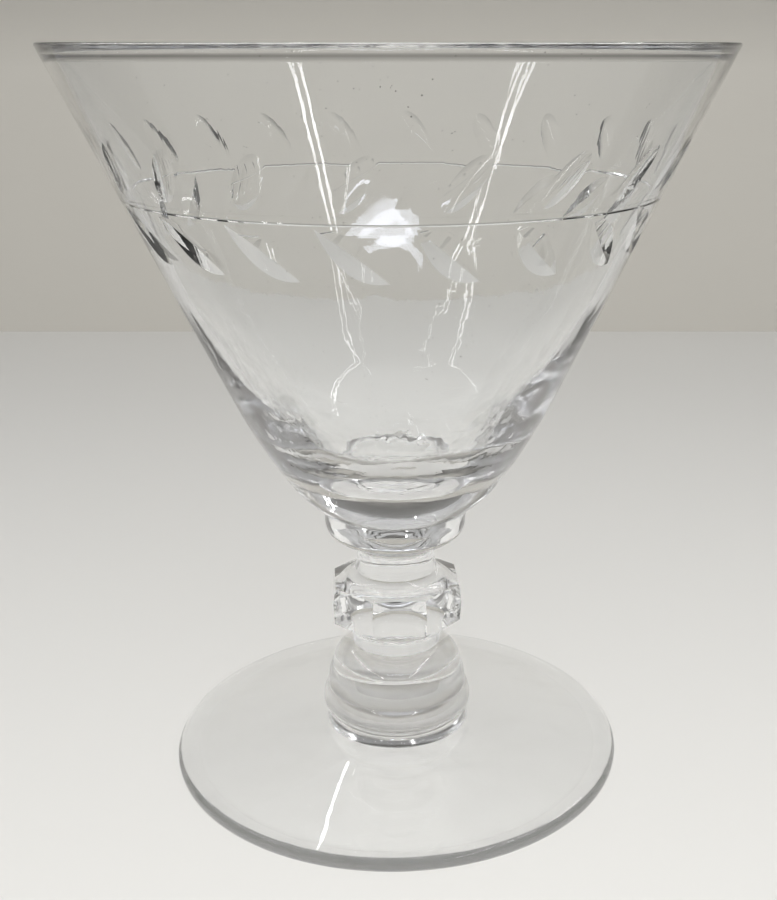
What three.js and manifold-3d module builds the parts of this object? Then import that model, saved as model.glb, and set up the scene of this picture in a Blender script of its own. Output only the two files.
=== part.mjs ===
// Oyster cocktail glass: a wheel-cut conical bowl on a short knopped stem and a round foot.
// Millimetres, +Z up. The origin is the middle of the foot's underside.
// The pieces stand on one another from the foot up and meet face to face, as hot glass joints do.

import * as THREE from 'three';
import { mergeVertices } from 'three/addons/utils/BufferGeometryUtils.js';
import Module from 'manifold-3d';

// Foot
const footRadius = 31.8;
const footEdgeHeight = 1.9;
const footEdgeRound = 0.8;
const footCrown = 5.4;
const footCrownStart = 10.4;
const footCrownDrop = 0.7;
const footSweepSlope = THREE.MathUtils.degToRad(60);
const footHollow = 1.8;
const restRingOuter = 30.6;
const restRingWidth = 2.4;

// Ring between the foot and the stem
const footRingHeight = 4.6;
const footRingRadius = 10.6;
const footRingSeat = 9.6;
const footRingLowCorner = 0.9;
const footRingHighCorner = 0.45;

// Bell-shaped lower knop
const bellHeight = 6.7;
const bellBaseRadius = 9.9;
const bellShoulderRadius = 9.1;
const bellShoulderDrop = 2.9;
const bellShoulderLean = THREE.MathUtils.degToRad(17);
const bellCrownDrop = 0.6;

// Faceted knop, with a neck below and a neck above
const knopHeight = 13.7;
const knopFlats = 8;
const knopAcrossFlats = 17.9;
const knopTopAcrossFlats = 17.2;
const knopBottomAcrossFlats = 17.5;
const knopBottom = 4.0;
const knopGirdle = 7.0;
const knopTop = 9.5;
const knopSpare = 1;
const knopCornerTrim = 0.3;
const knopFlareDrop = 0.8;
const knopSweepReach = 0.5;
const knopSweepRise = 0.4;
const lowerNeckRadius = 6.2;
const lowerNeckHeight = 2.6;
const upperNeckRadius = 5.4;
const upperNeckHeight = 1.1;

// Collar under the bowl
const collarHeight = 6.6;
const collarRadius = 9.8;
const collarDrumHeight = 2.0;
const collarEdgeRadius = 8.3;
const collarEdgeHeight = 2.9;
const collarEdgeSweep = 0.6;
const collarNeckHeight = 1.2;
const collarNeckSweep = 0.4;

// Bowl
const bowlHeight = 61;
const rimRadius = 42.7;
const coneAngle = THREE.MathUtils.degToRad(25.4);
const heelHeight = 16;
const heelSlope = THREE.MathUtils.degToRad(34);
const wall = 1.6;
const lipHeight = 1.3;
const lipRound = 0.6;
const lipThickness = 2.1;
const thinWallBottom = 14;
const bottomThickness = 6.5;
const floorRadius = 8.1;

// Cut band on the bowl: a line round the cone, with leaves above and below that lean the same way
const bandHeight = 43.2;
const lineWidth = 0.9;
const lineDepth = 0.3;
const lineSpare = 0.6;
const leafCount = 20;
const leafPitch = 2 * Math.PI / leafCount;
const upperLeaf = {
  length: 9,
  width: 4,
  depth: 0.5,
  lean: THREE.MathUtils.degToRad(56),
  clearance: 1,
  start: THREE.MathUtils.degToRad(-85),
  pointed: false,
};
const lowerLeaf = {
  length: 11.4,
  width: 5,
  depth: 0.55,
  lean: THREE.MathUtils.degToRad(-42),
  clearance: 0.2,
  start: THREE.MathUtils.degToRad(-90),
  pointed: true,
};

// Facets
const bowlSides = 72;
const stemSides = 48;
const footSides = 64;
const curveSteps = 4;
const wheelSides = 72;
const wheelSteps = 4;
const wheelReach = 2;
const mergeDistance = 1e-4;

const wasm = await Module();
wasm.setup();

const crystal = { color: 0xe9eeee, roughness: 0.04, metalness: 0, transparent: true, opacity: 0.4 };

// Turns an outline of (radius, height) points round the vertical axis.
function revolve(outline, sides) {
  const geometry = new THREE.LatheGeometry(outline, sides);
  return geometry.rotateX(Math.PI / 2);
}

// Makes a solid for joining and cutting out of a closed geometry.
function toSolid(geometry) {
  const bare = geometry.clone();
  bare.deleteAttribute('normal');
  bare.deleteAttribute('uv');
  const merged = mergeVertices(bare, mergeDistance);
  const corners = merged.index.array;
  const triangles = [];
  for (let i = 0; i < corners.length; i += 3) {
    const [a, b, c] = corners.subarray(i, i + 3);
    if (a !== b && b !== c && c !== a) {
      triangles.push(a, b, c);
    }
  }
  const vertProperties = new Float32Array(merged.attributes.position.array);
  const triVerts = new Uint32Array(triangles);
  return new wasm.Manifold(new wasm.Mesh({ numProp: 3, vertProperties, triVerts }));
}

function toGeometry(solid) {
  const mesh = solid.getMesh();
  const geometry = new THREE.BufferGeometry();
  geometry.setAttribute('position', new THREE.BufferAttribute(mesh.vertProperties, 3));
  geometry.setIndex(new THREE.BufferAttribute(mesh.triVerts, 1));
  geometry.computeVertexNormals();
  return geometry;
}

// The point where two straight lines cross, each given by a point and its slope from the horizontal.
function crossing(p, angleP, q, angleQ) {
  const rise = Math.tan(angleP);
  const otherRise = Math.tan(angleQ);
  const x = (q.y - p.y + rise * p.x - otherRise * q.x) / (rise - otherRise);
  return new THREE.Vector2(x, p.y + rise * (x - p.x));
}

function piece(name, geometry, height) {
  const mesh = new THREE.Mesh(geometry, new THREE.MeshStandardMaterial(crystal));
  mesh.name = name;
  mesh.position.z = height;
  return mesh;
}

// Foot: hollow beneath, a flat ring to stand on, a rounded edge and a crown that sweeps up to the stem.
function makeFoot() {
  const restRingInner = restRingOuter - restRingWidth;
  const edge = new THREE.Vector2(footRadius - footEdgeRound, footEdgeHeight);
  const crownStart = new THREE.Vector2(footCrownStart, footCrown - footCrownDrop);
  const seat = new THREE.Vector2(footRingSeat, footCrown);
  const crownSlope = Math.atan2(edge.y - crownStart.y, edge.x - crownStart.x);
  const sweep = crossing(crownStart, crownSlope, seat, -footSweepSlope);
  const outline = new THREE.Path();
  outline.moveTo(0, footHollow);
  outline.quadraticCurveTo(restRingInner / 2, footHollow, restRingInner, 0);
  outline.lineTo(restRingOuter, 0);
  outline.quadraticCurveTo(footRadius, 0, footRadius, footEdgeHeight / 2);
  outline.quadraticCurveTo(footRadius, footEdgeHeight, edge.x, edge.y);
  outline.lineTo(crownStart.x, crownStart.y);
  outline.quadraticCurveTo(sweep.x, sweep.y, seat.x, seat.y);
  outline.lineTo(0, footCrown);
  return revolve(outline.getPoints(curveSteps), footSides);
}

// Foot ring: a bead that swells out from the foot's seat and closes in under the bell.
function makeFootRing() {
  const outline = new THREE.Path();
  outline.moveTo(0, 0);
  outline.lineTo(footRingSeat, 0);
  outline.quadraticCurveTo(footRingRadius, footRingLowCorner, footRingRadius, footRingHeight / 2);
  outline.quadraticCurveTo(
    footRingRadius, footRingHeight - footRingHighCorner,
    bellBaseRadius, footRingHeight,
  );
  outline.lineTo(0, footRingHeight);
  return revolve(outline.getPoints(curveSteps), stemSides);
}

// Bell: nearly upright sides that round over a shoulder to the neck above.
function makeBell() {
  const shoulder = bellHeight - bellShoulderDrop;
  const sideTop = shoulder - (bellBaseRadius - bellShoulderRadius) / Math.tan(bellShoulderLean);
  const crown = bellHeight - bellCrownDrop;
  const crownRadius = bellShoulderRadius - (crown - shoulder) * Math.tan(bellShoulderLean);
  const outline = new THREE.Path();
  outline.moveTo(0, 0);
  outline.lineTo(bellBaseRadius, 0);
  outline.quadraticCurveTo(bellBaseRadius, sideTop, bellShoulderRadius, shoulder);
  outline.quadraticCurveTo(crownRadius, crown, lowerNeckRadius, bellHeight);
  outline.lineTo(0, bellHeight);
  return revolve(outline.getPoints(curveSteps), stemSides);
}

// Knop: a round blank between two necks, cut by two tiers of flats that meet at a girdle.
function makeKnop() {
  const cornerShare = 1 / Math.cos(Math.PI / knopFlats);
  const bottomCorner = cornerShare * knopBottomAcrossFlats / 2;
  const girdleCorner = cornerShare * knopAcrossFlats / 2;
  const topCorner = cornerShare * knopTopAcrossFlats / 2;
  const blankRadius = girdleCorner + knopSpare;
  const neckBase = knopHeight - upperNeckHeight;
  const round = new THREE.Path();
  round.moveTo(0, 0);
  round.lineTo(lowerNeckRadius, 0);
  round.lineTo(lowerNeckRadius, lowerNeckHeight);
  round.quadraticCurveTo(
    lowerNeckRadius, knopBottom - knopFlareDrop,
    knopBottomAcrossFlats / 2, knopBottom,
  );
  round.lineTo(blankRadius, knopBottom + knopCornerTrim);
  round.lineTo(blankRadius, knopTop - knopCornerTrim);
  round.lineTo(knopTopAcrossFlats / 2, knopTop);
  round.quadraticCurveTo(
    upperNeckRadius + knopSweepReach, knopTop + knopSweepRise,
    upperNeckRadius, neckBase,
  );
  round.lineTo(upperNeckRadius, knopHeight);
  round.lineTo(0, knopHeight);
  const flats = new THREE.Path();
  flats.moveTo(0, -knopSpare);
  flats.lineTo(bottomCorner, -knopSpare);
  flats.lineTo(bottomCorner, knopBottom);
  flats.lineTo(girdleCorner, knopGirdle);
  flats.lineTo(topCorner, knopTop);
  flats.lineTo(topCorner, knopHeight + knopSpare);
  flats.lineTo(0, knopHeight + knopSpare);
  const blank = toSolid(revolve(round.getPoints(curveSteps), stemSides));
  const flatsSolid = toSolid(revolve(flats.getPoints(), knopFlats).rotateZ(Math.PI / knopFlats));
  return toGeometry(blank.intersect(flatsSolid));
}

// Collar: a drum under the bowl that rounds in to the knop's upper neck.
function makeCollar() {
  const drumBottom = collarHeight - collarDrumHeight;
  const outline = new THREE.Path();
  outline.moveTo(0, 0);
  outline.lineTo(upperNeckRadius, 0);
  outline.lineTo(upperNeckRadius, collarNeckHeight);
  outline.quadraticCurveTo(
    upperNeckRadius + collarNeckSweep, collarEdgeHeight - collarEdgeSweep,
    collarEdgeRadius, collarEdgeHeight,
  );
  outline.quadraticCurveTo(collarRadius, collarEdgeHeight + collarEdgeSweep, collarRadius, drumBottom);
  outline.lineTo(collarRadius, collarHeight);
  outline.lineTo(0, collarHeight);
  return revolve(outline.getPoints(curveSteps), stemSides);
}

const coneRise = Math.PI / 2 - coneAngle;

// Outer radius of the cone at a height above the collar.
function coneRadius(height) {
  return rimRadius - (bowlHeight - height) * Math.tan(coneAngle);
}

// Bowl blank: a rounded heel under a straight cone, a bead lip, a thin wall and a thick rounded bottom.
function makeBlank() {
  const coneFoot = new THREE.Vector2(coneRadius(heelHeight), heelHeight);
  const seat = new THREE.Vector2(collarRadius, 0);
  const heel = crossing(coneFoot, coneRise, seat, heelSlope);
  const wallAcross = wall / Math.cos(coneAngle);
  const lipBase = bowlHeight - lipRound;
  const lipInner = coneRadius(lipBase) - lipThickness;
  const wallTop = new THREE.Vector2(coneRadius(bowlHeight - lipHeight) - wallAcross, bowlHeight - lipHeight);
  const wellTop = new THREE.Vector2(coneRadius(thinWallBottom) - wallAcross, thinWallBottom);
  const wellTurn = new THREE.Vector2(coneRadius(bottomThickness) - wallAcross, bottomThickness);
  const outline = new THREE.Path();
  outline.moveTo(0, 0);
  outline.lineTo(seat.x, seat.y);
  outline.quadraticCurveTo(heel.x, heel.y, coneFoot.x, coneFoot.y);
  outline.lineTo(coneRadius(lipBase), lipBase);
  outline.quadraticCurveTo(rimRadius, bowlHeight, rimRadius - lipThickness / 2, bowlHeight);
  outline.quadraticCurveTo(lipInner, bowlHeight, lipInner, lipBase);
  outline.lineTo(wallTop.x, wallTop.y);
  outline.lineTo(wellTop.x, wellTop.y);
  outline.quadraticCurveTo(wellTurn.x, wellTurn.y, floorRadius, bottomThickness);
  outline.lineTo(0, bottomThickness);
  return toSolid(revolve(outline.getPoints(curveSteps), bowlSides));
}

// The line: a shallow groove of three corners, turned round the cone.
function makeLineCutter() {
  const low = bandHeight - lineWidth / 2;
  const high = bandHeight + lineWidth / 2;
  const outline = [
    new THREE.Vector2(coneRadius(low), low),
    new THREE.Vector2(coneRadius(bandHeight) + lineSpare, bandHeight),
    new THREE.Vector2(coneRadius(high), high),
    new THREE.Vector2(coneRadius(bandHeight) - lineDepth, bandHeight),
    new THREE.Vector2(coneRadius(low), low),
  ];
  return toSolid(revolve(outline, bowlSides));
}

// A cutting wheel, sized so that it leaves a leaf of the given length, width and depth on the cone.
// A pointed leaf comes from a mitred edge, and a round-ended one from a rounded edge.
function makeWheel(leaf, radius) {
  const halfWidth = leaf.width / 2;
  const reach = wheelReach * leaf.depth;
  const outline = new THREE.Path();
  const inner = radius - reach;
  if (leaf.pointed) {
    outline.moveTo(inner, -halfWidth * reach / leaf.depth);
    outline.lineTo(radius, 0);
    outline.lineTo(inner, halfWidth * reach / leaf.depth);
  } else {
    const edge = halfWidth * Math.sqrt(reach / leaf.depth);
    outline.moveTo(inner, -edge);
    outline.quadraticCurveTo(radius + reach, 0, inner, edge);
  }
  outline.closePath();
  return new THREE.LatheGeometry(outline.getPoints(wheelSteps), wheelSides);
}

// Places one wheel for each leaf, its edge sunk into the cone along the leaf.
function cutLeaves(solid, leaf) {
  const halfLength = leaf.length / 2;
  const rise = Math.sin(leaf.lean) * (halfLength + leaf.clearance / Math.abs(Math.sin(leaf.lean)));
  const middle = bandHeight + rise * Math.cos(coneAngle);
  const radiusThere = coneRadius(middle);
  const coneCurve = Math.cos(leaf.lean) ** 2 * Math.cos(coneAngle) / radiusThere;
  const wheelRadius = 1 / (2 * leaf.depth / halfLength ** 2 - coneCurve);
  const wheel = makeWheel(leaf, wheelRadius);
  const middleTurn = Math.cos(leaf.lean) * halfLength / radiusThere;
  let result = solid;
  for (let i = 0; i < leafCount; i += 1) {
    const turn = leaf.start + middleTurn + i * leafPitch;
    const outward = new THREE.Vector3(Math.cos(turn), Math.sin(turn), 0);
    const along = new THREE.Vector3(-Math.sin(turn), Math.cos(turn), 0);
    const up = new THREE.Vector3(0, 0, 1);
    const normal = outward.clone().multiplyScalar(Math.cos(coneAngle));
    normal.addScaledVector(up, -Math.sin(coneAngle));
    const slope = outward.clone().multiplyScalar(Math.sin(coneAngle));
    slope.addScaledVector(up, Math.cos(coneAngle));
    const vein = along.multiplyScalar(Math.cos(leaf.lean)).addScaledVector(slope, Math.sin(leaf.lean));
    const axle = normal.clone().cross(vein);
    const centre = outward.multiplyScalar(radiusThere).addScaledVector(up, middle);
    centre.addScaledVector(normal, wheelRadius - leaf.depth);
    const place = new THREE.Matrix4().makeBasis(vein, axle, normal).setPosition(centre);
    result = result.subtract(toSolid(wheel.clone().applyMatrix4(place)));
  }
  return result;
}

function makeBowl() {
  const lined = makeBlank().subtract(makeLineCutter());
  return toGeometry(cutLeaves(cutLeaves(lined, upperLeaf), lowerLeaf));
}

const footRingBase = footCrown;
const bellBase = footRingBase + footRingHeight;
const knopBase = bellBase + bellHeight;
const collarBase = knopBase + knopHeight;
const bowlBase = collarBase + collarHeight;

const glass = new THREE.Group();
glass.add(piece('foot', makeFoot(), 0));
glass.add(piece('foot_ring', makeFootRing(), footRingBase));
glass.add(piece('bell', makeBell(), bellBase));
glass.add(piece('knop', makeKnop(), knopBase));
glass.add(piece('collar', makeCollar(), collarBase));
glass.add(piece('bowl', makeBowl(), bowlBase));

export default glass;
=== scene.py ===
# Oyster cocktail glass in clear crystal: six turned pieces fused into one glass, a wheel-cut leaf band
# round the bowl, and a pale studio lit by tube lamps. Outlines are in millimetres, the scene in metres.
import math

import bmesh
import bpy
from mathutils import Matrix, Vector


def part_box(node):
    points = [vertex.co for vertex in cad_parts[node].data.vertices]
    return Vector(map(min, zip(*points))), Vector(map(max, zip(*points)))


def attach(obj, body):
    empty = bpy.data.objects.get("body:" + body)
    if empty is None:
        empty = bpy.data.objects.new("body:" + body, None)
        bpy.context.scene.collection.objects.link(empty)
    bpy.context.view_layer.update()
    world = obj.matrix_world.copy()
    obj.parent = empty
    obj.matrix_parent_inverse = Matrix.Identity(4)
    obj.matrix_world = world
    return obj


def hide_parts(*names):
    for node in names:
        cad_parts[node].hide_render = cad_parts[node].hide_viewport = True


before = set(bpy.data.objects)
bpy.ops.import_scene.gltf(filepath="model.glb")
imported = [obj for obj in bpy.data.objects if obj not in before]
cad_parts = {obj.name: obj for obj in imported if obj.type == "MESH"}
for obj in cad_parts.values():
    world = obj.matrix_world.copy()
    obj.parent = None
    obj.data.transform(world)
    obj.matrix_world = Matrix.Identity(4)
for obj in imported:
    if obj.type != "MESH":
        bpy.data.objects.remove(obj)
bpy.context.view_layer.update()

mm = 0.001
turning = {
    "steps": 256,          # flats round a stem piece
    "roundSegments": 20,   # segments in each rounded corner of an outline
    "mergeDistance": 1e-4,
    "sliver": 2e-3,        # edges shorter than this are left over from a cut
    "creaseAngle": math.radians(18),
}
jointSlot, secondSlot = 1, 2         # material slots on a glass piece, after its main finish
mixA, mixB, mixResult = 6, 7, 2      # colour sockets of a Mix node


# Sizes that come from the frame

nodeBoxes = {node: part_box(node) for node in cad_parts}


def baseOf(node):
    return nodeBoxes[node][0].z / mm


def topOf(node):
    return nodeBoxes[node][1].z / mm


def radiusOf(node):
    return nodeBoxes[node][1].x / mm


def heightOf(node):
    return topOf(node) - baseOf(node)


# Turning: an outline of (radius, height, round) corners becomes a closed solid

def turnedSolid(corners, base, steps):
    bm = bmesh.new()
    outline = [bm.verts.new((radius, 0, base + height)) for radius, height, _ in corners]
    for lower, upper in zip(outline, outline[1:]):
        bm.edges.new((lower, upper))
    for vert, (_, _, roundOver) in zip(outline, corners):
        if roundOver:
            bmesh.ops.bevel(
                bm, geom=[vert], offset=roundOver, offset_type="OFFSET", affect="VERTICES",
                segments=turning["roundSegments"], profile=0.5, clamp_overlap=False, material=-1,
            )
    bmesh.ops.spin(
        bm, geom=bm.verts[:] + bm.edges[:], cent=(0, 0, 0), axis=(0, 0, 1),
        angle=math.tau, steps=steps, use_merge=True,
    )
    bmesh.ops.remove_doubles(bm, verts=bm.verts[:], dist=turning["mergeDistance"])
    bmesh.ops.recalc_face_normals(bm, faces=bm.faces[:])
    return bm


# The flat faces where two pieces are fused get the joint's material
def markJoints(bm, heights):
    for face in bm.faces:
        for height in heights:
            if all(abs(vert.co.z - height) < turning["mergeDistance"] for vert in face.verts):
                face.material_index = jointSlot


def toObject(bm, name, materials):
    mesh = bpy.data.meshes.new(name)
    bm.to_mesh(mesh)
    for material in materials:
        mesh.materials.append(material)
    bm.free()
    piece = bpy.data.objects.new(name, mesh)
    bpy.context.scene.collection.objects.link(piece)
    return piece


# Cuts leave slivers and points in the middle of straight edges
def cleanCuts(mesh):
    bm = bmesh.new()
    bm.from_mesh(mesh)
    bmesh.ops.dissolve_degenerate(bm, dist=turning["sliver"], edges=bm.edges[:])
    bmesh.ops.remove_doubles(bm, verts=bm.verts[:], dist=turning["sliver"])
    midPoints = [vert for vert in bm.verts if len(vert.link_edges) == 2]
    bmesh.ops.dissolve_verts(bm, verts=midPoints)
    bm.to_mesh(mesh)
    bm.free()


# Smooth faces, hard edges where the surface folds or a cut begins, and the size in metres
def finishPiece(piece, node):
    mesh = piece.data
    cleanCuts(mesh)
    mesh.transform(Matrix.Scale(mm, 4))
    mesh.shade_smooth()
    mesh.set_sharp_from_angle(angle=turning["creaseAngle"])
    bm = bmesh.new()
    bm.from_mesh(mesh)
    for edge in bm.edges:
        if len({face.material_index for face in edge.link_faces}) > 1:
            edge.smooth = False
    bm.to_mesh(mesh)
    bm.free()
    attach(piece, "root")
    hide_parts(node)
    return piece


# Shader groups

def newGroup(name, inputs, outputs):
    group = bpy.data.node_groups.new(name, "ShaderNodeTree")
    for label, kind, value in inputs:
        socket = group.interface.new_socket(name=label, in_out="INPUT", socket_type=kind)
        if value is not None:
            socket.default_value = value
    for label, kind in outputs:
        group.interface.new_socket(name=label, in_out="OUTPUT", socket_type=kind)
    start = group.nodes.new("NodeGroupInput")
    end = group.nodes.new("NodeGroupOutput")
    return group, start, end


def addNode(tree, kind, values=None, **settings):
    node = tree.nodes.new(kind)
    for key, value in settings.items():
        setattr(node, key, value)
    for key, value in (values or {}).items():
        node.inputs[key].default_value = value
    return node


# Slow waves that hot glass keeps when it cools, drawn out along the stem and fading towards the thin rim
ripple = {
    "stretch": (1.0, 1.0, 0.45),
    "slow": {"Detail": 1.0, "Roughness": 0.4},
    "fine": {"Detail": 2.0, "Roughness": 0.5},
    "fadeStart": 0.054, "fadeEnd": 0.07,       # heights, where the heel ends and the thin wall begins
    "heelShare": 2.4, "rimShare": 0.25,
}


def makeRippleGroup():
    group, start, end = newGroup(
        "hotGlassRipple",
        [("Vector", "NodeSocketVector", None), ("Wave Scale", "NodeSocketFloat", None),
         ("Fine Scale", "NodeSocketFloat", None), ("Fine Share", "NodeSocketFloat", None)],
        [("Height", "NodeSocketFloat")],
    )
    stretch = addNode(group, "ShaderNodeMapping")
    stretch.inputs["Scale"].default_value = ripple["stretch"]
    slow = addNode(group, "ShaderNodeTexNoise", ripple["slow"])
    fine = addNode(group, "ShaderNodeTexNoise", ripple["fine"])
    share = addNode(group, "ShaderNodeMath", operation="MULTIPLY")
    total = addNode(group, "ShaderNodeMath", operation="ADD")
    axes = addNode(group, "ShaderNodeSeparateXYZ")
    fade = addNode(group, "ShaderNodeMapRange", {
        "From Min": ripple["fadeStart"], "From Max": ripple["fadeEnd"],
        "To Min": ripple["heelShare"], "To Max": ripple["rimShare"],
    })
    faded = addNode(group, "ShaderNodeMath", operation="MULTIPLY")
    link = group.links.new
    link(start.outputs["Vector"], axes.inputs["Vector"])
    link(axes.outputs["Z"], fade.inputs["Value"])
    link(start.outputs["Vector"], stretch.inputs["Vector"])
    link(stretch.outputs["Vector"], slow.inputs["Vector"])
    link(stretch.outputs["Vector"], fine.inputs["Vector"])
    link(start.outputs["Wave Scale"], slow.inputs["Scale"])
    link(start.outputs["Fine Scale"], fine.inputs["Scale"])
    link(fine.outputs["Fac"], share.inputs[0])
    link(start.outputs["Fine Share"], share.inputs[1])
    link(slow.outputs["Fac"], total.inputs[0])
    link(share.outputs["Value"], total.inputs[1])
    link(total.outputs["Value"], faded.inputs[0])
    link(fade.outputs["Result"], faded.inputs[1])
    link(faded.outputs["Value"], end.inputs["Height"])
    return group


# Faint smears left by a cloth: bands of slightly duller polish
wipe = {
    "turn": (0.3, 0.5, 0.0), "stretch": (1.0, 1.0, 0.25), "scale": 45.0,
    "smear": {"Detail": 4.0, "Roughness": 0.65, "Distortion": 0.6},
    "band": {"From Min": 0.56, "From Max": 0.74},
}


def makeWipeGroup():
    group, start, end = newGroup(
        "wipeMarks",
        [("Vector", "NodeSocketVector", None), ("Clean", "NodeSocketFloat", None),
         ("Smeared", "NodeSocketFloat", None), ("Scale", "NodeSocketFloat", wipe["scale"])],
        [("Roughness", "NodeSocketFloat")],
    )
    turn = addNode(group, "ShaderNodeMapping")
    turn.inputs["Rotation"].default_value = wipe["turn"]
    turn.inputs["Scale"].default_value = wipe["stretch"]
    smear = addNode(group, "ShaderNodeTexNoise", wipe["smear"])
    band = addNode(group, "ShaderNodeMapRange", wipe["band"])
    level = addNode(group, "ShaderNodeMapRange")
    link = group.links.new
    link(start.outputs["Vector"], turn.inputs["Vector"])
    link(turn.outputs["Vector"], smear.inputs["Vector"])
    link(start.outputs["Scale"], smear.inputs["Scale"])
    link(smear.outputs["Fac"], band.inputs["Value"])
    link(band.outputs["Result"], level.inputs["Value"])
    link(start.outputs["Clean"], level.inputs["To Min"])
    link(start.outputs["Smeared"], level.inputs["To Max"])
    link(level.outputs["Result"], end.inputs["Roughness"])
    return group


# Specks of dust that settle on the glass in patches, as a colour that darkens what shines through
dust = {"colour": (0.2, 0.19, 0.17, 1.0), "scale": 700.0, "patches": {"Scale": 90.0, "Detail": 2.0}}


def makeDustGroup():
    group, start, end = newGroup(
        "dustSpecks",
        [("Vector", "NodeSocketVector", None), ("Clear", "NodeSocketColor", None),
         ("Dust", "NodeSocketColor", dust["colour"]), ("Scale", "NodeSocketFloat", dust["scale"]),
         ("Amount", "NodeSocketFloat", None)],
        [("Color", "NodeSocketColor")],
    )
    cells = addNode(group, "ShaderNodeTexVoronoi")
    patches = addNode(group, "ShaderNodeTexNoise", dust["patches"])
    reach = addNode(group, "ShaderNodeMath", operation="MULTIPLY")
    speck = addNode(group, "ShaderNodeMath", operation="LESS_THAN")
    blend = addNode(group, "ShaderNodeMix", data_type="RGBA")
    link = group.links.new
    link(start.outputs["Vector"], cells.inputs["Vector"])
    link(start.outputs["Vector"], patches.inputs["Vector"])
    link(start.outputs["Scale"], cells.inputs["Scale"])
    link(start.outputs["Amount"], reach.inputs[0])
    link(patches.outputs["Fac"], reach.inputs[1])
    link(cells.outputs["Distance"], speck.inputs[0])
    link(reach.outputs["Value"], speck.inputs[1])
    link(speck.outputs["Value"], blend.inputs["Factor"])
    link(start.outputs["Clear"], blend.inputs[mixA])
    link(start.outputs["Dust"], blend.inputs[mixB])
    link(blend.outputs[mixResult], end.inputs["Color"])
    return group


# Finishes

finishes = {
    "blownCrystal": {"waveScale": 100.0, "fineScale": 320.0, "fineShare": 0.15, "waveHeight": 0.00016,
                     "clean": 0.0, "smeared": 0.07, "dust": 0.09},
    "pressedCrystal": {"waveScale": 110.0, "fineScale": 500.0, "fineShare": 0.15, "waveHeight": 0.00004,
                       "clean": 0.0, "smeared": 0.06, "dust": 0.07},
    "footCrystal": {"waveScale": 70.0, "fineScale": 300.0, "fineShare": 0.1, "waveHeight": 0.000017,
                    "clean": 0.0, "smeared": 0.06, "dust": 0.07},
    "undersideCrystal": {"waveScale": 190.0, "fineScale": 600.0, "fineShare": 0.1, "waveHeight": 0.00005,
                         "clean": 0.14, "smeared": 0.26, "dust": 0.07},
    "cutCrystal": {"waveScale": 300.0, "fineScale": 900.0, "fineShare": 0.3, "waveHeight": 0.00003,
                   "clean": 0.0, "smeared": 0.05, "dust": 0.05},
}
crystal = {
    "index": 1.52, "clear": (0.985, 0.99, 0.99, 1.0), "edgeBlend": 0.12,
    "shadowFace": (0.995, 0.995, 0.995, 1.0), "shadowEdge": (0.86, 0.86, 0.86, 1.0),
}


# Clear glass that lets lamp light through to the floor, a little less at its edges
def makeCrystal(name, waveGroup, wipeGroup, dustGroup):
    look = finishes[name]
    material = bpy.data.materials.new(name)
    material.use_nodes = True
    tree = material.node_tree
    tree.nodes.clear()
    place = addNode(tree, "ShaderNodeTexCoord")
    waves = addNode(tree, "ShaderNodeGroup", node_tree=waveGroup)
    waves.inputs["Wave Scale"].default_value = look["waveScale"]
    waves.inputs["Fine Scale"].default_value = look["fineScale"]
    waves.inputs["Fine Share"].default_value = look["fineShare"]
    bump = addNode(tree, "ShaderNodeBump", {"Strength": 1.0, "Distance": look["waveHeight"]})
    marks = addNode(tree, "ShaderNodeGroup", node_tree=wipeGroup)
    marks.inputs["Clean"].default_value = look["clean"]
    marks.inputs["Smeared"].default_value = look["smeared"]
    specks = addNode(tree, "ShaderNodeGroup", node_tree=dustGroup)
    specks.inputs["Clear"].default_value = crystal["clear"]
    specks.inputs["Amount"].default_value = look["dust"]
    glass = addNode(tree, "ShaderNodeBsdfPrincipled", {"IOR": crystal["index"], "Transmission Weight": 1.0})
    lampPath = addNode(tree, "ShaderNodeLightPath")
    either = addNode(tree, "ShaderNodeMath", operation="MAXIMUM")
    edge = addNode(tree, "ShaderNodeLayerWeight", {"Blend": crystal["edgeBlend"]})
    shade = addNode(tree, "ShaderNodeMix", data_type="RGBA")
    shade.inputs[mixA].default_value = crystal["shadowFace"]
    shade.inputs[mixB].default_value = crystal["shadowEdge"]
    passing = addNode(tree, "ShaderNodeBsdfTransparent")
    seen = addNode(tree, "ShaderNodeMixShader")
    output = addNode(tree, "ShaderNodeOutputMaterial")
    link = tree.links.new
    for group in (waves, marks, specks):
        link(place.outputs["Object"], group.inputs["Vector"])
    link(waves.outputs["Height"], bump.inputs["Height"])
    link(bump.outputs["Normal"], glass.inputs["Normal"])
    link(marks.outputs["Roughness"], glass.inputs["Roughness"])
    link(specks.outputs["Color"], glass.inputs["Base Color"])
    link(lampPath.outputs["Is Shadow Ray"], either.inputs[0])
    link(lampPath.outputs["Is Diffuse Ray"], either.inputs[1])
    link(edge.outputs["Facing"], shade.inputs["Factor"])
    link(shade.outputs[mixResult], passing.inputs["Color"])
    link(either.outputs["Value"], seen.inputs["Fac"])
    link(glass.outputs["BSDF"], seen.inputs[1])
    link(passing.outputs["BSDF"], seen.inputs[2])
    link(seen.outputs["Shader"], output.inputs["Surface"])
    return material


# Two pieces fused hot leave no surface between them
def makeJoint():
    material = bpy.data.materials.new("fusedJoint")
    material.use_nodes = True
    inside = material.node_tree.nodes["Principled BSDF"]
    inside.inputs["Base Color"].default_value = (1.0, 1.0, 1.0, 1.0)
    inside.inputs["Alpha"].default_value = 0.0
    return material


rippleGroup = makeRippleGroup()
wipeGroup = makeWipeGroup()
dustGroup = makeDustGroup()
crystals = {name: makeCrystal(name, rippleGroup, wipeGroup, dustGroup) for name in finishes}
fusedJoint = makeJoint()
stemMaterials = [crystals["pressedCrystal"], fusedJoint]
footMaterials = [crystals["footCrystal"], fusedJoint, crystals["undersideCrystal"]]
bowlMaterials = [crystals["blownCrystal"], fusedJoint, crystals["cutCrystal"]]
print("finishes ready")


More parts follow.
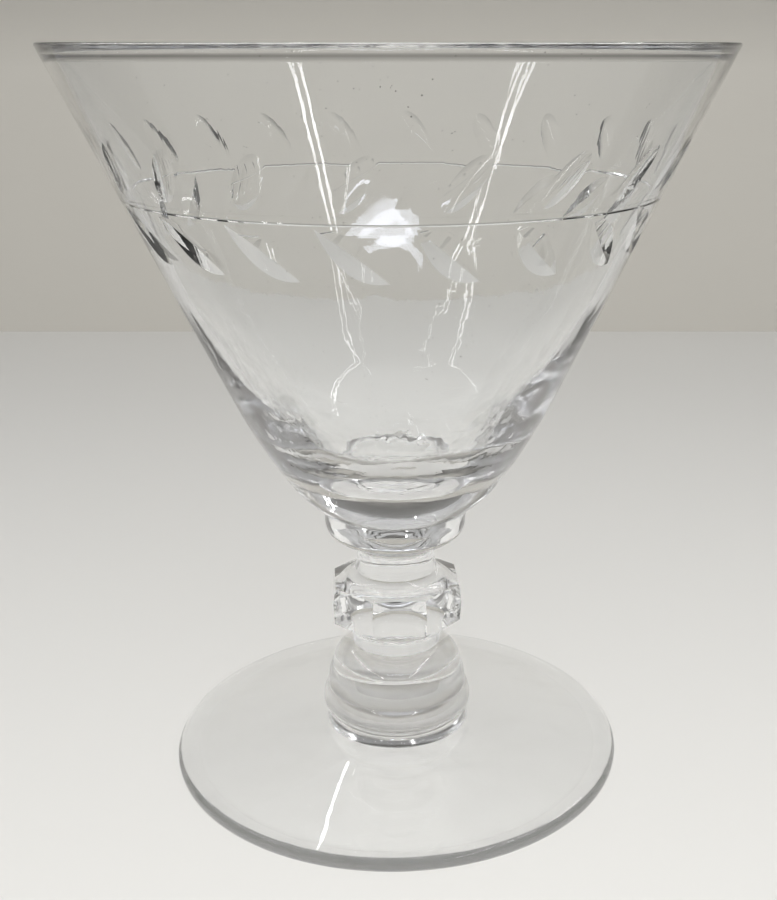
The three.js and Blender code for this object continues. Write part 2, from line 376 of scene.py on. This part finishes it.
# Foot: hollow beneath, a narrow ring to stand on, a rounded edge and a crown that rises to the ring above

foot = {
    "hollow": 1.8, "hollowRound": 12.0,
    "restInner": 28.2, "restRound": 0.4,
    "edgeHeight": 1.9, "edgeRound": 0.9,
    "crownStart": 10.4, "crownDrop": 0.7, "sweepSlope": math.radians(60), "sweepRound": 0.5,
    "seat": 9.6,
    "underside": -0.9,   # faces that point further down than this are ground
}


def makeFoot():
    radius = radiusOf("foot")
    crown = heightOf("foot")
    fall = (crown - foot["crownDrop"] - foot["edgeHeight"]) / (radius - foot["crownStart"])
    level = foot["crownDrop"] - fall * (foot["crownStart"] - foot["seat"])
    sweepReach = level / (math.tan(foot["sweepSlope"]) - fall)
    sweepDrop = sweepReach * math.tan(foot["sweepSlope"])
    corners = [
        (0, foot["hollow"], 0),
        (foot["restInner"] / 2, foot["hollow"], foot["hollowRound"]),
        (foot["restInner"], 0, foot["restRound"]),
        (radius, 0, foot["edgeRound"]),
        (radius, foot["edgeHeight"], foot["edgeRound"]),
        (foot["seat"] + sweepReach, crown - sweepDrop, foot["sweepRound"]),
        (foot["seat"], crown, 0),
        (0, crown, 0),
    ]
    bm = turnedSolid(corners, baseOf("foot"), turning["steps"])
    for face in bm.faces:
        if face.normal.z < foot["underside"]:
            face.material_index = secondSlot
    markJoints(bm, [topOf("foot")])
    return finishPiece(toObject(bm, "glassFoot", footMaterials), "foot")


# Foot ring: a bead between the foot and the bell

footRing = {"bellSeat": 9.9, "lowRound": 1.2, "highRound": 1.0, "widestLow": 1.3, "widestHigh": 3.6}


def makeFootRing():
    radius = radiusOf("foot_ring")
    height = heightOf("foot_ring")
    corners = [
        (0, 0, 0),
        (foot["seat"], 0, 0),
        (radius, footRing["widestLow"], footRing["lowRound"]),
        (radius, footRing["widestHigh"], footRing["highRound"]),
        (footRing["bellSeat"], height, 0),
        (0, height, 0),
    ]
    bm = turnedSolid(corners, baseOf("foot_ring"), turning["steps"])
    markJoints(bm, [baseOf("foot_ring"), topOf("foot_ring")])
    return finishPiece(toObject(bm, "glassFootRing", stemMaterials), "foot_ring")


# Bell: nearly upright sides that round over a shoulder to the neck

bell = {"sideHeight": 1.2, "sideRound": 1.1, "shoulderRadius": 8.39, "shoulderDrop": 0.6,
        "shoulderRound": 2.1, "neckSeat": 6.2}


def makeBell():
    height = heightOf("bell")
    corners = [
        (0, 0, 0),
        (footRing["bellSeat"], 0, 0),
        (footRing["bellSeat"], bell["sideHeight"], bell["sideRound"]),
        (bell["shoulderRadius"], height - bell["shoulderDrop"], bell["shoulderRound"]),
        (bell["neckSeat"], height, 0),
        (0, height, 0),
    ]
    bm = turnedSolid(corners, baseOf("bell"), turning["steps"])
    markJoints(bm, [baseOf("bell"), topOf("bell")])
    return finishPiece(toObject(bm, "glassBell", stemMaterials), "bell")


# Knop: a turned blank between two necks, cut by two tiers of eight flats that meet at a girdle

knop = {
    "flats": 8, "acrossBottom": 17.5, "acrossTop": 17.2, "spare": 1.7, "cornerTrim": 0.3,
    "lowNeckHeight": 2.6, "lowNeckRound": 0.9,
    "bottom": 4.0, "girdle": 7.0, "top": 9.5,
    "sweepReach": 0.5, "sweepRise": 0.4, "sweepRound": 2.2,
    "highNeckHeight": 12.6, "highNeckRound": 0.3, "highNeckSeat": 5.4,
    "edgeAngle": math.radians(30), "edgeRound": 0.2, "edgeSegments": 2,
}


def cutFlat(bm, point, normal):
    geometry = bm.verts[:] + bm.edges[:] + bm.faces[:]
    cut = bmesh.ops.bisect_plane(bm, geom=geometry, plane_co=point, plane_no=normal, clear_outer=True)
    openEdges = [item for item in cut["geom_cut"] if isinstance(item, bmesh.types.BMEdge)]
    bmesh.ops.holes_fill(bm, edges=openEdges, sides=0)


def makeKnop():
    base = baseOf("knop")
    height = heightOf("knop")
    girdleApothem = radiusOf("knop")
    bottomApothem = knop["acrossBottom"] / 2
    topApothem = knop["acrossTop"] / 2
    blankRadius = girdleApothem + knop["spare"]
    corners = [
        (0, 0, 0),
        (bell["neckSeat"], 0, 0),
        (bell["neckSeat"], knop["lowNeckHeight"], knop["lowNeckRound"]),
        (bottomApothem, knop["bottom"], 0),
        (blankRadius, knop["bottom"] + knop["cornerTrim"], 0),
        (blankRadius, knop["top"] - knop["cornerTrim"], 0),
        (topApothem, knop["top"], 0),
        (knop["highNeckSeat"] + knop["sweepReach"], knop["top"] + knop["sweepRise"], knop["sweepRound"]),
        (knop["highNeckSeat"], knop["highNeckHeight"], knop["highNeckRound"]),
        (knop["highNeckSeat"], height, 0),
        (0, height, 0),
    ]
    bm = turnedSolid(corners, base, turning["steps"])
    lowLean = math.atan2(girdleApothem - bottomApothem, knop["girdle"] - knop["bottom"])
    highLean = math.atan2(girdleApothem - topApothem, knop["top"] - knop["girdle"])
    up = Vector((0, 0, 1))
    for i in range(knop["flats"]):
        turn = math.tau * i / knop["flats"]
        outward = Vector((math.cos(turn), math.sin(turn), 0))
        girdlePoint = outward * girdleApothem + up * (base + knop["girdle"])
        cutFlat(bm, girdlePoint, outward * math.cos(lowLean) - up * math.sin(lowLean))
        cutFlat(bm, girdlePoint, outward * math.cos(highLean) + up * math.sin(highLean))
    bmesh.ops.recalc_face_normals(bm, faces=bm.faces[:])
    low, high = base + knop["lowNeckHeight"], base + knop["highNeckHeight"]
    edges = [edge for edge in bm.edges if edge.calc_face_angle() > knop["edgeAngle"]
             and all(low < vert.co.z < high for vert in edge.verts)]
    bmesh.ops.bevel(bm, geom=edges, offset=knop["edgeRound"], offset_type="OFFSET", affect="EDGES",
                    segments=knop["edgeSegments"], profile=0.5, clamp_overlap=True, material=-1)
    markJoints(bm, [baseOf("knop"), topOf("knop")])
    return finishPiece(toObject(bm, "glassKnop", stemMaterials), "knop")


# Collar: a drum under the bowl that rounds in to the knop's neck

collar = {"neckHeight": 1.2, "neckRound": 0.7, "edgeRadius": 9.3, "edgeHeight": 3.0, "edgeRound": 0.8,
          "drumHeight": 4.4, "drumRound": 0.7}


def makeCollar():
    radius = radiusOf("collar")
    height = heightOf("collar")
    corners = [
        (0, 0, 0),
        (knop["highNeckSeat"], 0, 0),
        (knop["highNeckSeat"], collar["neckHeight"], collar["neckRound"]),
        (collar["edgeRadius"], collar["edgeHeight"], collar["edgeRound"]),
        (radius, collar["drumHeight"], collar["drumRound"]),
        (radius, height, 0),
        (0, height, 0),
    ]
    bm = turnedSolid(corners, baseOf("collar"), turning["steps"])
    markJoints(bm, [baseOf("collar"), topOf("collar")])
    return finishPiece(toObject(bm, "glassCollar", stemMaterials), "collar")


# Bowl: a straight cone on a rounded heel, with a bead lip, a thin wall that thickens low down, and a
# heavy bottom with a rounded well

bowl = {
    "steps": 360,
    "coneAngle": math.radians(25.4), "coneReach": 42.7,
    "heelHeight": 16.0, "heelSlope": math.radians(34), "heelRounding": 0.93,
    "wall": 1.6, "lipThickness": 2.1, "lipRound": 0.9, "lipHeight": 1.3, "lipFootRound": 0.3,
    "edgeRound": 0.5,
    "thinWallBottom": 26.0, "thinWallRound": 7.0,
    "floorRadius": 12.0, "wellRound": 9.5, "bottomThickness": 6.5,
}


def coneRadius(height):
    return bowl["coneReach"] - (heightOf("bowl") - height) * math.tan(bowl["coneAngle"])


def makeBlank():
    height = heightOf("bowl")
    seat = radiusOf("collar")
    rim = radiusOf("bowl")
    heelRise = math.tan(bowl["heelSlope"])
    heelTurn = heelRise * (coneRadius(0) - seat) / (1 - heelRise * math.tan(bowl["coneAngle"]))
    seatPoint = Vector((seat, 0))
    turnPoint = Vector((coneRadius(heelTurn), heelTurn))
    conePoint = Vector((coneRadius(bowl["heelHeight"]), bowl["heelHeight"]))
    lowHeel = (seatPoint + turnPoint) / 2
    highHeel = (turnPoint + conePoint) / 2
    lowRound = bowl["heelRounding"] * (turnPoint - lowHeel).length
    highRound = bowl["heelRounding"] * (turnPoint - highHeel).length
    wallAcross = bowl["wall"] / math.cos(bowl["coneAngle"])
    lipFoot = height - bowl["lipHeight"]
    corners = [
        (0, 0, 0),
        (seat, 0, 0),
        (lowHeel.x, lowHeel.y, lowRound),
        (highHeel.x, highHeel.y, highRound),
        (rim, height, bowl["edgeRound"]),
        (rim - bowl["lipThickness"], height, bowl["lipRound"]),
        (coneRadius(lipFoot) - wallAcross, lipFoot, bowl["lipFootRound"]),
        (coneRadius(bowl["thinWallBottom"]) - wallAcross, bowl["thinWallBottom"], bowl["thinWallRound"]),
        (bowl["floorRadius"], bowl["bottomThickness"], bowl["wellRound"]),
        (0, bowl["bottomThickness"], 0),
    ]
    bm = turnedSolid(corners, baseOf("bowl"), bowl["steps"])
    markJoints(bm, [baseOf("bowl")])
    return toObject(bm, "glassBowl", bowlMaterials)


# The cut band: a line round the cone with pointed leaves hanging below it and round-ended ones above

band = {
    "height": 43.2, "lineWidth": 0.75, "lineDepth": 0.24, "leafCount": 20,
    "edgeSteps": 10, "sweepSteps": 40, "spareSweep": 1.15, "spareReach": 1.25,
}
upperLeaf = {"length": 9.0, "width": 4.0, "depth": 0.5, "lean": math.radians(56), "clearance": 1.0,
             "start": math.radians(-85), "pointed": False}
lowerLeaf = {"length": 11.4, "width": 5.0, "depth": 0.55, "lean": math.radians(-42), "clearance": 0.2,
             "start": math.radians(-90), "pointed": True}


def makeLineCutter():
    middle = band["height"]
    low = middle - band["lineWidth"] / 2
    high = middle + band["lineWidth"] / 2
    corners = [
        (coneRadius(low), low),
        (coneRadius(middle) + 2 * band["lineDepth"], middle),
        (coneRadius(high), high),
        (coneRadius(middle) - band["lineDepth"], middle),
    ]
    bm = bmesh.new()
    outline = [bm.verts.new((radius, 0, baseOf("bowl") + height)) for radius, height in corners]
    bm.faces.new(outline)
    bmesh.ops.delete(bm, geom=bm.faces[:], context="FACES_ONLY")
    bmesh.ops.spin(
        bm, geom=bm.verts[:] + bm.edges[:], cent=(0, 0, 0), axis=(0, 0, 1),
        angle=math.tau, steps=bowl["steps"], use_merge=True,
    )
    bmesh.ops.remove_doubles(bm, verts=bm.verts[:], dist=turning["mergeDistance"])
    bmesh.ops.recalc_face_normals(bm, faces=bm.faces[:])
    return toObject(bm, "lineCutter", bowlMaterials)


# The rim of a cutting wheel: a mitre for a pointed leaf, a rounded edge for a round-ended one
def wheelEdge(leaf, radius):
    halfWidth = leaf["width"] / 2
    reach = band["spareReach"] * leaf["depth"]
    if leaf["pointed"]:
        side = halfWidth * band["spareReach"]
        return [(-side, radius - reach), (0, radius), (side, radius - reach)]
    side = halfWidth * math.sqrt(band["spareReach"])
    edge = []
    for i in range(band["edgeSteps"] + 1):
        across = side * (2 * i / band["edgeSteps"] - 1)
        edge.append((across, radius - leaf["depth"] * (across / halfWidth) ** 2))
    return edge


def makeLeafCutter(leaf, name):
    cone = bowl["coneAngle"]
    halfLength = leaf["length"] / 2
    rise = math.sin(leaf["lean"]) * halfLength + math.copysign(leaf["clearance"], leaf["lean"])
    middle = band["height"] + rise * math.cos(cone)
    radiusThere = coneRadius(middle)
    coneCurve = math.cos(leaf["lean"]) ** 2 * math.cos(cone) / radiusThere
    wheelRadius = 1 / (2 * leaf["depth"] / halfLength ** 2 - coneCurve)
    sweep = 2 * band["spareSweep"] * halfLength / wheelRadius
    bm = bmesh.new()
    edge = [bm.verts.new((0, across, -out)) for across, out in wheelEdge(leaf, wheelRadius)]
    section = bm.faces.new(edge)
    axle = Vector((0, 1, 0))
    bmesh.ops.rotate(bm, verts=edge, cent=(0, 0, 0), matrix=Matrix.Rotation(-sweep / 2, 3, axle))
    bmesh.ops.spin(bm, geom=[section], cent=(0, 0, 0), axis=axle, angle=sweep, steps=band["sweepSteps"])
    bmesh.ops.recalc_face_normals(bm, faces=bm.faces[:])
    turn = leaf["start"] + math.cos(leaf["lean"]) * halfLength / radiusThere
    outward = Vector((math.cos(turn), math.sin(turn), 0))
    along = Vector((-math.sin(turn), math.cos(turn), 0))
    up = Vector((0, 0, 1))
    normal = outward * math.cos(cone) - up * math.sin(cone)
    slope = outward * math.sin(cone) + up * math.cos(cone)
    vein = along * math.cos(leaf["lean"]) + slope * math.sin(leaf["lean"])
    centre = outward * radiusThere + up * (baseOf("bowl") + middle) + normal * (wheelRadius - leaf["depth"])
    place = Matrix((vein, normal.cross(vein), normal)).transposed().to_4x4()
    place.translation = centre
    bmesh.ops.transform(bm, matrix=place, verts=bm.verts[:])
    pitch = math.tau / band["leafCount"]
    bmesh.ops.spin(
        bm, geom=bm.verts[:] + bm.edges[:] + bm.faces[:], cent=(0, 0, 0), axis=(0, 0, 1),
        angle=math.tau - pitch, steps=band["leafCount"] - 1, use_duplicate=True,
    )
    return toObject(bm, name, bowlMaterials)


def cutBand(piece):
    cutters = [
        makeLineCutter(),
        makeLeafCutter(upperLeaf, "upperLeafCutter"),
        makeLeafCutter(lowerLeaf, "lowerLeafCutter"),
    ]
    for cutter in cutters:
        for face in cutter.data.polygons:
            face.material_index = secondSlot
        cut = piece.modifiers.new(cutter.name, "BOOLEAN")
        cut.operation = "DIFFERENCE"
        cut.solver = "MANIFOLD"
        cut.object = cutter
    bpy.context.view_layer.update()
    depsgraph = bpy.context.evaluated_depsgraph_get()
    cutMesh = bpy.data.meshes.new_from_object(piece.evaluated_get(depsgraph))
    piece.modifiers.clear()
    piece.data = cutMesh
    for cutter in cutters:
        bpy.data.objects.remove(cutter)


def makeBowl():
    piece = makeBlank()
    cutBand(piece)
    return finishPiece(piece, "bowl")


pieces = [makeFoot(), makeFootRing(), makeBell(), makeKnop(), makeCollar(), makeBowl()]
for piece in pieces:
    print("made", piece.name, len(piece.data.polygons), "faces")


# Stage: a pale floor and a low beige-grey wall behind the glass, with painted shade that darkens it towards
# its top

stage = {
    "wallDistance": 0.272, "wallTurn": math.radians(4.75), "wallHeight": 0.3,
    "near": 0.24, "width": 2.4,
    "floorColour": (0.69, 0.685, 0.665), "floorRoughness": 0.5,
    # the wall's own colour, then the near black of the painted shade high on the wall
    "wallColour": (0.67, 0.65, 0.6), "paintedWallShade": (0.1, 0.095, 0.085), "wallRoughness": 0.6,
    "shadeBottom": 0.09, "shadeTop": 0.19, "gloss": 0.2,
}


def makePaint(name, colour, roughness):
    material = bpy.data.materials.new(name)
    material.use_nodes = True
    paint = material.node_tree.nodes["Principled BSDF"]
    paint.inputs["Base Color"].default_value = (*colour, 1.0)
    paint.inputs["Roughness"].default_value = roughness
    paint.inputs["Specular IOR Level"].default_value = stage["gloss"]
    return material


# Painted shade: the wall's colour darkens to near black from shadeBottom up to shadeTop, standing in for
# shade high on the wall
def makeWallPaint():
    material = makePaint("wallPaint", stage["wallColour"], stage["wallRoughness"])
    tree = material.node_tree
    place = addNode(tree, "ShaderNodeTexCoord")
    axes = addNode(tree, "ShaderNodeSeparateXYZ")
    shade = addNode(tree, "ShaderNodeMapRange", {
        "From Min": stage["shadeBottom"], "From Max": stage["shadeTop"],
    })
    blend = addNode(tree, "ShaderNodeMix", data_type="RGBA")
    blend.inputs[mixA].default_value = (*stage["wallColour"], 1.0)
    blend.inputs[mixB].default_value = (*stage["paintedWallShade"], 1.0)
    link = tree.links.new
    link(place.outputs["Object"], axes.inputs["Vector"])
    link(axes.outputs["Z"], shade.inputs["Value"])
    link(shade.outputs["Result"], blend.inputs["Factor"])
    link(blend.outputs[mixResult], tree.nodes["Principled BSDF"].inputs["Base Color"])
    return material


def makePlane(name, corners, material):
    bm = bmesh.new()
    bm.faces.new([bm.verts.new(corner) for corner in corners])
    plane = toObject(bm, name, [material])
    return plane


half = stage["width"] / 2
near = -stage["near"]
leftBack = stage["wallDistance"] + half * math.tan(stage["wallTurn"])
rightBack = stage["wallDistance"] - half * math.tan(stage["wallTurn"])
wallTop = stage["wallHeight"]
floor = makePlane(
    "paleFloor",
    [(-half, near, 0), (half, near, 0), (half, rightBack, 0), (-half, leftBack, 0)],
    makePaint("floorPaint", stage["floorColour"], stage["floorRoughness"]),
)
wall = makePlane(
    "backWall",
    [(-half, leftBack, 0), (half, rightBack, 0), (half, rightBack, wallTop), (-half, leftBack, wallTop)],
    makeWallPaint(),
)


# Lamps: rows of tubes under the ceiling, a bluish panel in front, and a soft box close by that lights the
# floor and isn't seen in the glass

lamps = {
    "rightRow": {"across": 1.3, "start": -4.0, "end": 3.0, "tubes": 2, "width": 0.035},
    "leftRow": {"across": -1.95, "start": -4.0, "end": 3.0, "tubes": 2, "width": 0.035},
    "backRow": {"across": -0.25, "start": 1.4, "end": 3.3, "tubes": 1, "width": 0.016},
}
tube = {"height": 2.0, "spacing": 0.13, "radiance": 13.0, "colour": (1.0, 1.0, 1.0)}
panel = {"size": (2.2, 0.1), "place": (0.1, -2.06, 2.0), "radiance": 8.5, "colour": (0.84, 0.88, 1.0)}
softBox = {"size": (0.4, 0.4), "place": (0.0, -0.25, 0.4), "radiance": 4.2, "colour": (1.0, 0.99, 0.97)}


# An area lamp that faces down, as bright as the radiance says
def makeLamp(name, size, place, radiance, colour):
    light = bpy.data.lights.new(name, "AREA")
    light.shape = "RECTANGLE"
    light.size, light.size_y = size
    light.energy = radiance * math.pi * size[0] * size[1]
    light.color = colour
    lamp = bpy.data.objects.new(name, light)
    lamp.location = place
    bpy.context.scene.collection.objects.link(lamp)
    return lamp


for name, row in lamps.items():
    length = row["end"] - row["start"]
    middle = (row["start"] + row["end"]) / 2
    for i in range(row["tubes"]):
        offset = (i - (row["tubes"] - 1) / 2) * tube["spacing"]
        place = (row["across"] + offset, middle, tube["height"])
        makeLamp(name, (row["width"], length), place, tube["radiance"], tube["colour"])
makeLamp("panel", panel["size"], panel["place"], panel["radiance"], panel["colour"])
fill = makeLamp("softBox", softBox["size"], softBox["place"], softBox["radiance"], softBox["colour"])
fill.visible_glossy = False
fill.visible_transmission = False


# The room's light by the height that a ray points to: dim below the floor, brightest overhead

sky = {
    "below": (0.14, 0.14, 0.14), "level": (0.2, 0.19, 0.18),
    "above": (0.22, 0.22, 0.22), "zenith": (0.55, 0.55, 0.55),
    "belowHeight": -0.12, "levelHeight": 0.1, "aboveHeight": 0.6,
    "zenithStart": 0.75, "zenithHeight": 0.92,
}


def makeWorld():
    world = bpy.data.worlds.new("studio")
    world.use_nodes = True
    tree = world.node_tree
    direction = addNode(tree, "ShaderNodeTexCoord")
    axes = addNode(tree, "ShaderNodeSeparateXYZ")
    link = tree.links.new
    link(direction.outputs["Generated"], axes.inputs["Vector"])
    stops = [
        ("level", sky["belowHeight"], sky["levelHeight"]),
        ("above", sky["levelHeight"], sky["aboveHeight"]),
        ("zenith", sky["zenithStart"], sky["zenithHeight"]),
    ]
    colourBelow = None
    for tone, low, high in stops:
        rise = addNode(tree, "ShaderNodeMapRange", {"From Min": low, "From Max": high})
        blend = addNode(tree, "ShaderNodeMix", data_type="RGBA")
        blend.inputs[mixA].default_value = (*sky["below"], 1.0)
        blend.inputs[mixB].default_value = (*sky[tone], 1.0)
        link(axes.outputs["Z"], rise.inputs["Value"])
        link(rise.outputs["Result"], blend.inputs["Factor"])
        if colourBelow:
            link(colourBelow, blend.inputs[mixA])
        colourBelow = blend.outputs[mixResult]
    link(colourBelow, tree.nodes["Background"].inputs["Color"])
    bpy.context.scene.world = world


makeWorld()


# Camera: angles in degrees, turned and yawed about the vertical

view = {"turn": 3.0, "distance": 0.1607, "height": 0.098, "pitch": 18.27, "yaw": -1.75, "roll": 0.0,
        "shift": -0.0467, "lens": 49.4, "sensor": 36.0, "clipStart": 0.01}


def makeCamera():
    lens = bpy.data.cameras.new("photoCamera")
    lens.lens = view["lens"]
    lens.sensor_width = view["sensor"]
    lens.shift_x = view["shift"]
    lens.clip_start = view["clipStart"]
    camera = bpy.data.objects.new("photoCamera", lens)
    bpy.context.scene.collection.objects.link(camera)
    turn = math.radians(-view["turn"])
    location = Vector((math.sin(turn), -math.cos(turn), 0)) * view["distance"]
    location.z = view["height"]
    camera.matrix_world = (
        Matrix.Translation(location)
        @ Matrix.Rotation(turn + math.radians(view["yaw"]), 4, "Z")
        @ Matrix.Rotation(math.radians(90 - view["pitch"]), 4, "X")
        @ Matrix.Rotation(math.radians(view["roll"]), 4, "Z")
    )
    bpy.context.scene.camera = camera


makeCamera()
bounces = {"max_bounces": 32, "transmission_bounces": 24, "glossy_bounces": 24, "transparent_max_bounces": 32}
scene = bpy.context.scene
scene.view_settings.view_transform = "Standard"
for limit, count in bounces.items():
    setattr(scene.cycles, limit, count)   # light passes many walls of glass
print("stage, lamps and camera ready")
